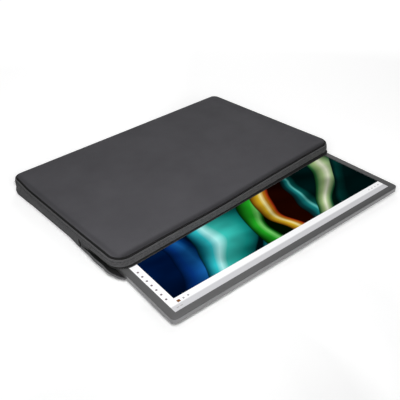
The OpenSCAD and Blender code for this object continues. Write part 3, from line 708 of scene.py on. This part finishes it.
def splay(bm):
    """Pushes the foot of the left side outwards, most where the unzipped side hangs open."""
    for v in bm.verts:
        out, away = outline_place(v.co.x, v.co.y)
        s = front_place(v.co.x, v.co.y)
        if out > -BULGE_RIM and v.co.x < 0 and s < BULGE_END:
            shift = curve(BULGE, s) * smooth((out + BULGE_RIM) / 13) * smooth((12 - v.co.z) / 8)
            shift *= 1 if s > 0 else max(0.0, -away.x)
            v.co.x += away.x * shift
            v.co.y += away.y * shift
    return bm


def crown(bm, rise, level):
    """Swells a panel a little towards its middle, above a level."""
    for v in bm.verts:
        if v.co.z > level:
            out, _ = outline_place(v.co.x, v.co.y)
            middle = (1 - (v.co.x / HALF_W) ** 4) * (1 - (v.co.y / HALF_D) ** 4)
            v.co.z += rise * middle * smooth((-out - HELD_RIM) / 22)
    return bm


def cloth_settings(pad, pressure):
    """Cloth that is held at its rim and blown up, without weight."""
    settings = pad.modifiers.new("cloth", "CLOTH").settings
    settings.quality = 6
    settings.mass = 0.02
    settings.tension_stiffness = settings.compression_stiffness = 12
    settings.bending_stiffness = 0.6
    settings.vertex_group_mass = "rim"
    settings.use_pressure = True
    settings.uniform_pressure_force = pressure
    settings.effector_weights.gravity = 0


SWELL_FRAMES = 20


def swell(bm, pressure, cap):
    """Lets a skin puff up as cloth that is held at its sewn rim. The cap limits how far a point moves."""
    bm.verts.index_update()
    mesh = bpy.data.meshes.new("swelling")
    bm.to_mesh(mesh)
    mesh.transform(Matrix.Scale(MM, 4))
    pad = bpy.data.objects.new("swelling", mesh)
    scene = bpy.context.scene
    scene.collection.objects.link(pad)
    rim = pad.vertex_groups.new(name="rim")
    for v in bm.verts:
        out, _ = outline_place(v.co.x, v.co.y)
        rim.add([v.index], 1 - smooth((-out - HELD_RIM) / 8), "REPLACE")
    cloth_settings(pad, pressure)
    for frame_number in range(1, SWELL_FRAMES + 1):
        scene.frame_set(frame_number)
    puffed = pad.evaluated_get(bpy.context.evaluated_depsgraph_get()).to_mesh()
    moves = [p.co / MM - v.co for p, v in zip(puffed.vertices, bm.verts)]
    for v, move in zip(bm.verts, moves):
        if move.length > 1e-6:
            v.co += move * (cap * math.tanh(move.length / cap) / move.length)
    bpy.data.objects.remove(pad)
    bpy.data.meshes.remove(mesh)
    scene.frame_set(1)
    return bm


def on_flap(thing):
    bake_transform(thing)
    return thing


# ---------- upper panel ----------

SKIN_ROLL = [(-4.3, 20.3), (-3.95, 20.9), (-3.9, 21.5), (-4.15, 22.1), (-4.8, 22.65), (-6.0, 23.2),
             (-7.8, 23.75), (-10.4, 24.2), (-14.0, FLAT_Z)]
SEAM_SHADE_Z = 21.9    # below this the skin's edge takes the near-black lining finish: painted shade in the seam's groove


def upper_cover():
    bm = bmesh.new()
    loop_run(bm, SKIN_ROLL, ring=False)
    fill_loop(bm, FLAT_Z)
    net_cuts(bm, 7, 6)
    bmesh.ops.recalc_face_normals(bm, faces=bm.faces)
    # The skin's edge in the groove takes the lining finish as painted shade.
    edge_faces(bm, lambda out, z, facing: z < SEAM_SHADE_Z)
    swell(bm, pressure=2.0, cap=1.0)
    settle(bm)
    thing = thicken(made("upper_cover", bm, ["sleeve_skin", "lining"]), 1.0)
    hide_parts("top_cover_rear", "top_cover_front")
    return on_flap(thing)


def plate(inset, low, high, soft):
    """A thin plate with soft edges, cut to lie inside the seams."""
    bm = bmesh.new()
    rise = (high - low) * 0.3
    edge = [(-inset - soft, low), (-inset, low + rise), (-inset, high - rise), (-inset - soft, high)]
    loop_run(bm, edge, ring=False)
    for height in (low, high):
        fill_loop(bm, height)
    net_cuts(bm)
    return closed(bm)


def upper_inside():
    foam_plate = crown(plate(inset=5.0, low=18.0, high=22.8, soft=1.4), 0.7, 20)
    foam = made("upper_foam", settle(foam_plate), ["foam"])
    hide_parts("top_padding_rear", "top_padding_front")
    on_flap(foam)
    sheet = made("upper_lining", settle(plate(inset=2.6, low=17.05, high=17.75, soft=0.3)), ["lining"])
    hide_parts("top_lining_rear", "top_lining_front")
    on_flap(sheet)


# ---------- lower panel ----------

GROUND_ROLL = [(-2.7, 3.6), (-1.8, 3.4), (-1.5, 2.8), (-1.8, 1.7), (-2.6, 0.75), (-4.2, 0.14), (-6.5, 0.0)]


def lower_pieces():
    foam = made("lower_foam", splay(plate(inset=2.8, low=1.35, high=2.85, soft=0.5)), ["foam"])
    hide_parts("bottom_padding")
    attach(foam, "sleeve")
    sheet = made("lower_lining", splay(plate(inset=2.4, low=3.15, high=3.8, soft=0.3)), ["lining"])
    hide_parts("bottom_lining")
    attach(sheet, "sleeve")
    bm = bmesh.new()
    loop_run(bm, GROUND_ROLL, ring=False)
    fill_loop(bm, 0.0)
    net_cuts(bm)
    bmesh.ops.recalc_face_normals(bm, faces=bm.faces)
    cover = thicken(made("lower_cover", splay(bm), ["sleeve_skin"]), 0.9)
    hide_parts("bottom_cover")
    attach(cover, "sleeve")


# ---------- walls, piping and stitching ----------

WALL_ROLL = [(-2.8, WALL_TOP), (-1.9, WALL_TOP), (-1.1, WALL_TOP - 0.5), (-0.4, WALL_TOP - 1.6),
             (0.1, WALL_TOP - 3.2)]
REAR_WALL_FOOT = [(0.25, 14), (0.0, 10), (-0.6, 6), (-1.3, 4.3), (-1.8, 3.65), (-3.0, 3.65), (-2.8, 12)]
FRONT_WALL_FOOT = [(0.35, 14.9), (0.1, 13.0), (-0.3, 12.1), (-0.9, 11.9), (-1.9, 12.1), (-2.4, 13.5)]


def wall(name, runner, foot, *replaced):
    bm = bmesh.new()
    runner(bm, WALL_ROLL + foot)
    cap_ends(bm)
    closed(bm)
    edge_faces(bm, lambda out, z, facing: facing < -0.5)
    thing = made(name, settle(splay(bm) if runner is rear_run else bm), ["sleeve_band", "lining"])
    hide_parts(*replaced)
    return thing


def walls():
    rear = wall("rear_wall", rear_run, REAR_WALL_FOOT, "back_band", "side_bands", "corner_bands")
    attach(rear, "sleeve")
    on_flap(wall("front_wall", front_run, FRONT_WALL_FOOT, "front_band"))


CORD_R, CORD_OUT, CORD_Z = 0.85, -1.6, 19.7
CORD_SIDES = 12
PIPING_TAPE = [(-5.0, 19.1), (CORD_OUT, 19.1), (CORD_OUT, 19.6), (-5.0, 19.6)]


def piping():
    """A round cord in its binding, and the flat tape by which it is sewn in."""
    bm = bmesh.new()
    turns = (i * 2 * math.pi / CORD_SIDES for i in range(CORD_SIDES))
    loop_run(bm, [(CORD_OUT + CORD_R * math.cos(a), CORD_Z + CORD_R * math.sin(a)) for a in turns])
    loop_run(bm, PIPING_TAPE)
    closed(bm)
    # The tape is real, but its near-black lining finish, like that on the cord's inner side, is painted
    # shade in the seam's groove.
    edge_faces(bm, lambda out, z, facing: out < CORD_OUT - 0.3 and z < CORD_Z + 0.7)
    thing = made("piping", settle(bm), ["piping", "lining"], sharp=70)
    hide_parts("piping_rear", "piping_front")
    on_flap(thing)


def rod(bm, place, axis, size, radius, sides):
    turn = UP.rotation_difference(axis).to_matrix().to_4x4()
    bmesh.ops.create_cone(bm, cap_ends=True, segments=sides, radius1=radius, radius2=radius, depth=size,
                          matrix=Matrix.Translation(place) @ turn)


def rods(bm, point, length, pitch, place, size, radius, start=2.0):
    """Short threads or teeth set along the outline. The place gives outwards, height and direction."""
    for i in range(int((length - 2 * start) / pitch) + 1):
        s = start + i * pitch
        x, y, nx, ny = point(s)
        out, z, axis = place(s, nx, ny)
        rod(bm, (x + nx * out, y + ny * out, z), axis, size, radius, sides=6)
    return bm


THREAD = {"pitch": 3.4, "size": 2.4, "radius": 0.2}


def stitching():
    def below_piping(s, nx, ny):
        return -0.2, WALL_TOP - 2.0, Vector((-ny, nx, 0))

    def above_zip(s, nx, ny):
        return 0.2, STRIP_TOP + 0.3, Vector((-ny, nx, 0))

    bm = rods(bmesh.new(), rear_point, length_of(REAR_LEGS), place=below_piping, **THREAD)
    thing = made("rear_stitches", bm, ["thread"])
    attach(thing, "sleeve")
    bm = bmesh.new()
    for place in (below_piping, above_zip):
        rods(bm, front_point, FRONT_LENGTH, place=place, **THREAD)
    thing = made("front_stitches", settle(bm), ["thread"])
    on_flap(thing)


# ---------- zip ----------

TOOTH_PITCH = 1.6
TOOTH_R = 0.4
LIP_OUT, LIP_Z = -1.8, 3.4              # foot of the lower strip, where it is sewn to the lower panel
BARE_END = 17.0                         # the upper strip is covered and has no teeth this near to its ends

# Lower strip: distance from the zip's end, length, and lean outwards in degrees.
LIP_LEFT = [(0, 1.7, 4), (20, 2.6, 8), (44, 3.8, 14), (84, 4.9, 92)]
LIP_RIGHT = [(0, 1.2, 0), (48, 1.2, 0), (72, 5.2, 95)]
MIDDLE = FRONT_LENGTH / 2 + 0.01        # the middle itself counts as left

# Cross-section of the lower strip: outwards in millimetres, and a share of its length. Its edge is a bead.
LIP_HALF = 0.42
LIP_SECTION = [(LIP_HALF, 0.0), (LIP_HALF, 0.35), (LIP_HALF, 0.52), (0.95, 0.6), (1.15, 0.76), (0.95, 0.92),
               (0.3, 1.0), (-0.7, 0.97), (-1.3, 0.82), (-1.1, 0.66), (-LIP_HALF, 0.58), (-LIP_HALF, 0.3),
               (-LIP_HALF, 0.0)]
BEAD_FROM = 0.62

# Upper strip: height of its lower edge by distance from the zip's end, and its cross-section.
STRIP_EDGE = [(0, 5.4), (17, 7.6), (34, 9.8), (62, 10.95)]
STRIP_TOP = 13.0
STRIP_SECTION = [(-0.7, 0.0), (-0.75, 0.5), (-0.8, 0.9), (-1.1, 1.0), (-1.4, 0.9), (-1.45, 0.5),
                 (-1.5, 0.0)]
STRIP_SHADE_REACH = 3.4                       # how far its near-black edge is pushed forward over the screen, partly as painted shade for the flap's shadow there
REACH_FROM, REACH_RUN = 45, 40


def lip_shape(s):
    """Length and lean of the lower strip: upright beside the zip's ends, pressed flat along the mouth."""
    left = s < MIDDLE
    table = LIP_LEFT if left else LIP_RIGHT
    s = s if left else FRONT_LENGTH - s
    length = curve([(place, size) for place, size, _ in table], s)
    return length, math.radians(curve([(place, lean) for place, _, lean in table], s))


def lip_point(s, share, across):
    """Outwards, height and lean at a share of the lower strip's length, and across its thickness."""
    length, lean = lip_shape(s)
    reach = share * length
    shift = curve(BULGE, s) if s < BULGE_END else 0.0
    return (LIP_OUT + shift + reach * math.sin(lean) + across * math.cos(lean),
            LIP_Z + reach * math.cos(lean) - across * math.sin(lean), lean)


def lower_strip():
    bm = bmesh.new()
    front_run(bm, LIP_SECTION)
    cap_ends(bm)
    closed(bm)
    edge_faces(bm, lambda out, z, facing: facing < 0.5 and z < BEAD_FROM)
    for v in bm.verts:
        out, away = outline_place(v.co.x, v.co.y)
        new_out, v.co.z, _ = lip_point(front_place(v.co.x, v.co.y), v.co.z, out)
        v.co.x += away.x * (new_out - out)
        v.co.y += away.y * (new_out - out)
    thing = made("lower_zip_strip", bm, ["binding", "zip_tape"])
    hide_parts("lower_zip_tape")
    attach(thing, "sleeve")

    def tooth(s, nx, ny):
        out, z, lean = lip_point(s, 0.45, -0.35)
        return out, z, Vector((nx * math.sin(lean), ny * math.sin(lean), math.cos(lean)))

    bm = rods(bmesh.new(), front_point, FRONT_LENGTH, TOOTH_PITCH, tooth, 1.0, TOOTH_R, start=3.0)
    teeth = made("lower_zip_teeth", bm, ["teeth"])
    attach(teeth, "sleeve")


def strip_edge(s):
    """Height of the upper strip's lower edge, just clear of the monitor along the mouth."""
    return curve(STRIP_EDGE, min(s, FRONT_LENGTH - s))


def strip_shade_reach(s):
    """How far the upper strip's edge is pushed forward where it rests over the screen. The near-black tape
    there is partly painted shade, standing for the flap's shadow on the screen.
    """
    return (STRIP_SHADE_REACH * smooth((s - REACH_FROM) / REACH_RUN)
            * smooth((FRONT_LENGTH - REACH_FROM - s) / REACH_RUN))


def upper_strip():
    bm = bmesh.new()
    front_run(bm, STRIP_SECTION)
    cap_ends(bm)
    closed(bm)
    for face in bm.faces:
        s = front_place(*face.calc_center_median().xy)
        face.material_index = int(min(s, FRONT_LENGTH - s) < BARE_END)
    for v in bm.verts:
        x, y, down = v.co
        top = STRIP_TOP + raised(x, y, STRIP_TOP)
        s = front_place(x, y)
        _, away = outline_place(x, y)
        # Pushing the near-black edge out over the screen is partly painted shade for the flap's shadow.
        shift = strip_shade_reach(s) * down ** 1.5
        v.co = Vector((x + away.x * shift, y + away.y * shift, top - down * (top - strip_edge(s))))
    thing = made("upper_zip_strip", bm, ["zip_tape", "sleeve_band"])
    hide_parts("upper_zip_tape")
    on_flap(thing)

    def tooth(s, nx, ny):
        return strip_shade_reach(s) - 1.25, strip_edge(s) + 0.45, UP

    bm = rods(bmesh.new(), front_point, FRONT_LENGTH, TOOTH_PITCH, tooth, 0.9, TOOTH_R, start=BARE_END)
    teeth = made("upper_zip_teeth", bm, ["teeth"])
    on_flap(teeth)


END_BAR = {"threads": 15, "pitch": 0.62, "low": 5.2, "out": 0.25, "behind": 0.6, "size": 2.0, "radius": 0.4}


def zip_ends(threads, pitch, low, out, behind, size, radius):
    """A dense bar of thread where each end of the zip is sewn down."""
    bm = bmesh.new()
    turn = Matrix.Rotation(math.pi / 2, 4, "X")
    for side in (-1, 1):
        for i in range(threads):
            place = Matrix.Translation((side * (HALF_W + out), FOLD_Y + behind, low + pitch * i))
            bmesh.ops.create_cone(bm, cap_ends=True, segments=8, radius1=radius, radius2=radius, depth=size,
                                  matrix=place @ turn)
    thing = made("zip_end_stitches", bm, ["lining"])
    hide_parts("zip_stops")
    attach(thing, "sleeve")


# ---------- monitor ----------

MONITOR = Matrix.Translation((-9.5, -226.0, 4.3)) @ Matrix.Rotation(math.radians(-4), 4, "Z")
GLASS_Z, GLASS_T = 5.45, 0.7
GLASS_LAP = 1.2                        # how far the glass runs under the bezel
SCREEN_Y = 8.0                         # from the monitor's front edge to the lit field
ROUNDED = {"front_bezel": 0.35, "kickstand": 0.2, "zip_slider": 0.5, "zip_pull": 0.4, "power_button": 0.15,
           "up_button": 0.15, "down_button": 0.15}


def rounded(node, width):
    """A copy of a solid with its sharp edges rounded."""
    bm = bmesh.new()
    bm.from_mesh(nodes[node].data)
    bmesh.ops.scale(bm, vec=(1 / MM,) * 3, verts=bm.verts)
    bmesh.ops.remove_doubles(bm, verts=bm.verts, dist=0.002)
    bmesh.ops.dissolve_limit(bm, angle_limit=math.radians(0.5), verts=bm.verts, edges=bm.edges)
    inner = (e for e in bm.edges if len(e.link_faces) == 2)
    sharp_edges = [e for e in inner if e.calc_face_angle(0) > math.radians(40)]
    bmesh.ops.bevel(bm, geom=sharp_edges, offset=width, segments=2, profile=0.5, affect="EDGES",
                    material=-1, clamp_overlap=True)
    thing = made("rounded_" + node, bm, [slot_of[node]], sharp=30)
    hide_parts(node)
    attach(thing, body_of[node])


def display():
    """The display's cover sheet, with the lit picture on its upper face."""
    bm = bmesh.new()
    width = 2 * (SCREEN_W / 2 + GLASS_LAP)
    y0, y1 = SCREEN_Y - GLASS_LAP, SCREEN_Y + SCREEN_D + GLASS_LAP
    bmesh.ops.create_grid(bm, x_segments=24, y_segments=16, size=0.5)
    bmesh.ops.scale(bm, vec=(width, y1 - y0, 1), verts=bm.verts)
    bmesh.ops.translate(bm, vec=(0, (y0 + y1) / 2, GLASS_Z), verts=bm.verts)
    grown = bmesh.ops.extrude_face_region(bm, geom=bm.faces[:])["geom"]
    lowered = [g for g in grown if isinstance(g, bmesh.types.BMVert)]
    bmesh.ops.translate(bm, vec=(0, 0, -GLASS_T), verts=lowered)
    bm.faces.sort(key=lambda face: face.calc_center_median().dot((1, 1e3, 1e6)))   # the same in each run
    bmesh.ops.recalc_face_normals(bm, faces=bm.faces)
    layer = bm.loops.layers.uv.new("display")
    for face in bm.faces:
        face.material_index = int(face.normal.z < 0.5)
        for loop in face.loops:
            x, y, _ = loop.vert.co
            loop[layer].uv = ((x + SCREEN_W / 2) / SCREEN_W, (y - SCREEN_Y) / SCREEN_D)
    bmesh.ops.transform(bm, matrix=MONITOR, verts=bm.verts)
    thing = made("lit_display", bm, ["lit_display", "screen_glass"])
    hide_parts("display_glass")
    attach(thing, "monitor")


# ---------- room, in metres ----------

FLOOR_HALF, FLOOR_Z = 6, -0.0002
SHADE_CENTRE = (-0.24, -0.30, 0)       # under the key lamp
SHADE_REACH = 1.2
LEFTWARD, LEFT_GLOW = (-8, 8, 0), 0.08

# The floor's own colour and its white, by distance from the centre.
FLOOR_COLOUR = [(0.06, 0.60), (0.10, 0.615), (0.135, 0.66), (0.165, 0.74), (0.2, 0.77), (0.24, 0.8)]
FLOOR_WHITE = [(0.135, 0.03), (0.165, 0.085), (0.2, 0.07), (0.235, 0.10), (0.29, 0.225), (0.345, 0.305),
               (0.41, 0.385), (0.54, 0.465), (0.7, 0.485), (0.9, 0.495), (1.15, 0.66)]
WORLD_LIGHT, WORLD_WHITE = 0.144, 1.0

# Square lamps that point at the origin: name, place, side and power in watts.
LAMPS = [("key_lamp", (-0.24, -0.30, 0.24), 0.2, 0.93), ("front_lamp", (-0.15, -1.1, 0.25), 0.6, 5.0),
         ("rear_lamp", (0.8, 0.6, 0.8), 0.8, 4.0), ("top_lamp", (-0.41, -0.28, 1.0), 0.6, 3.9)]


def floor_finish():
    """Pale ground that turns white away from the part, and keeps the part's shadow."""
    material = bpy.data.materials.new("floor")
    material.use_nodes = True
    f = Nodes(material.node_tree)
    f.tree.nodes.clear()
    place = f.add("TexCoord").outputs["Object"]
    away = f.add("VectorMath", {0: place, 1: SHADE_CENTRE}, operation="DISTANCE").outputs["Value"]
    share = f.maths("DIVIDE", away, SHADE_REACH)
    colour, white = (f.ramp(share, [(distance / SHADE_REACH, level) for distance, level in stops])
                     for stops in (FLOOR_COLOUR, FLOOR_WHITE))
    slant = f.add("VectorMath", {0: place, 1: LEFTWARD}, operation="DOT_PRODUCT").outputs["Value"]
    leftward = f.add("Clamp", {"Value": slant}).outputs[0]
    glow = f.maths("MULTIPLY", f.seen(), f.maths("MULTIPLY_ADD", leftward, LEFT_GLOW, white))
    shaders = [f.add("BsdfDiffuse", {"Color": colour}), f.add("Emission", {"Strength": glow})]
    total = f.add("AddShader", {i: shader.outputs[0] for i, shader in enumerate(shaders)})
    f.add("OutputMaterial", {"Surface": total.outputs[0]})
    return material


def floor():
    bm = bmesh.new()
    bmesh.ops.create_grid(bm, x_segments=1, y_segments=1, size=FLOOR_HALF)
    mesh = bpy.data.meshes.new("floor")
    bm.to_mesh(mesh)
    bm.free()
    mesh.materials.append(floor_finish())
    ground = bpy.data.objects.new("floor", mesh)
    ground.location.z = FLOOR_Z
    bpy.context.scene.collection.objects.link(ground)


def lighting():
    """A white world that gives less light than it shows, and the lamps."""
    scene = bpy.context.scene
    world = bpy.data.worlds.new("room")
    scene.world = world
    world.use_nodes = True
    w = Nodes(world.node_tree)
    back = w.tree.nodes["Background"]
    level = w.add("MapRange", {"Value": w.seen(), "To Min": WORLD_LIGHT, "To Max": WORLD_WHITE})
    w.put(back.inputs["Strength"], level.outputs[0])
    w.put(back.inputs["Color"], (1, 1, 1, 1))
    for name, place, side, power in LAMPS:
        data = bpy.data.lights.new(name, "AREA")
        data.shape = "SQUARE"
        data.size = side
        data.energy = power
        lamp = bpy.data.objects.new(name, data)
        lamp.location = place
        lamp.rotation_euler = (-Vector(place)).to_track_quat("-Z", "Y").to_euler()
        scene.collection.objects.link(lamp)
    scene.view_settings.view_transform = "Standard"


make_camera()
upper_cover()
upper_inside()
lower_pieces()
walls()
piping()
stitching()
lower_strip()
upper_strip()
zip_ends(**END_BAR)
display()
for node, width in ROUNDED.items():
    rounded(node, width)
floor()
lighting()
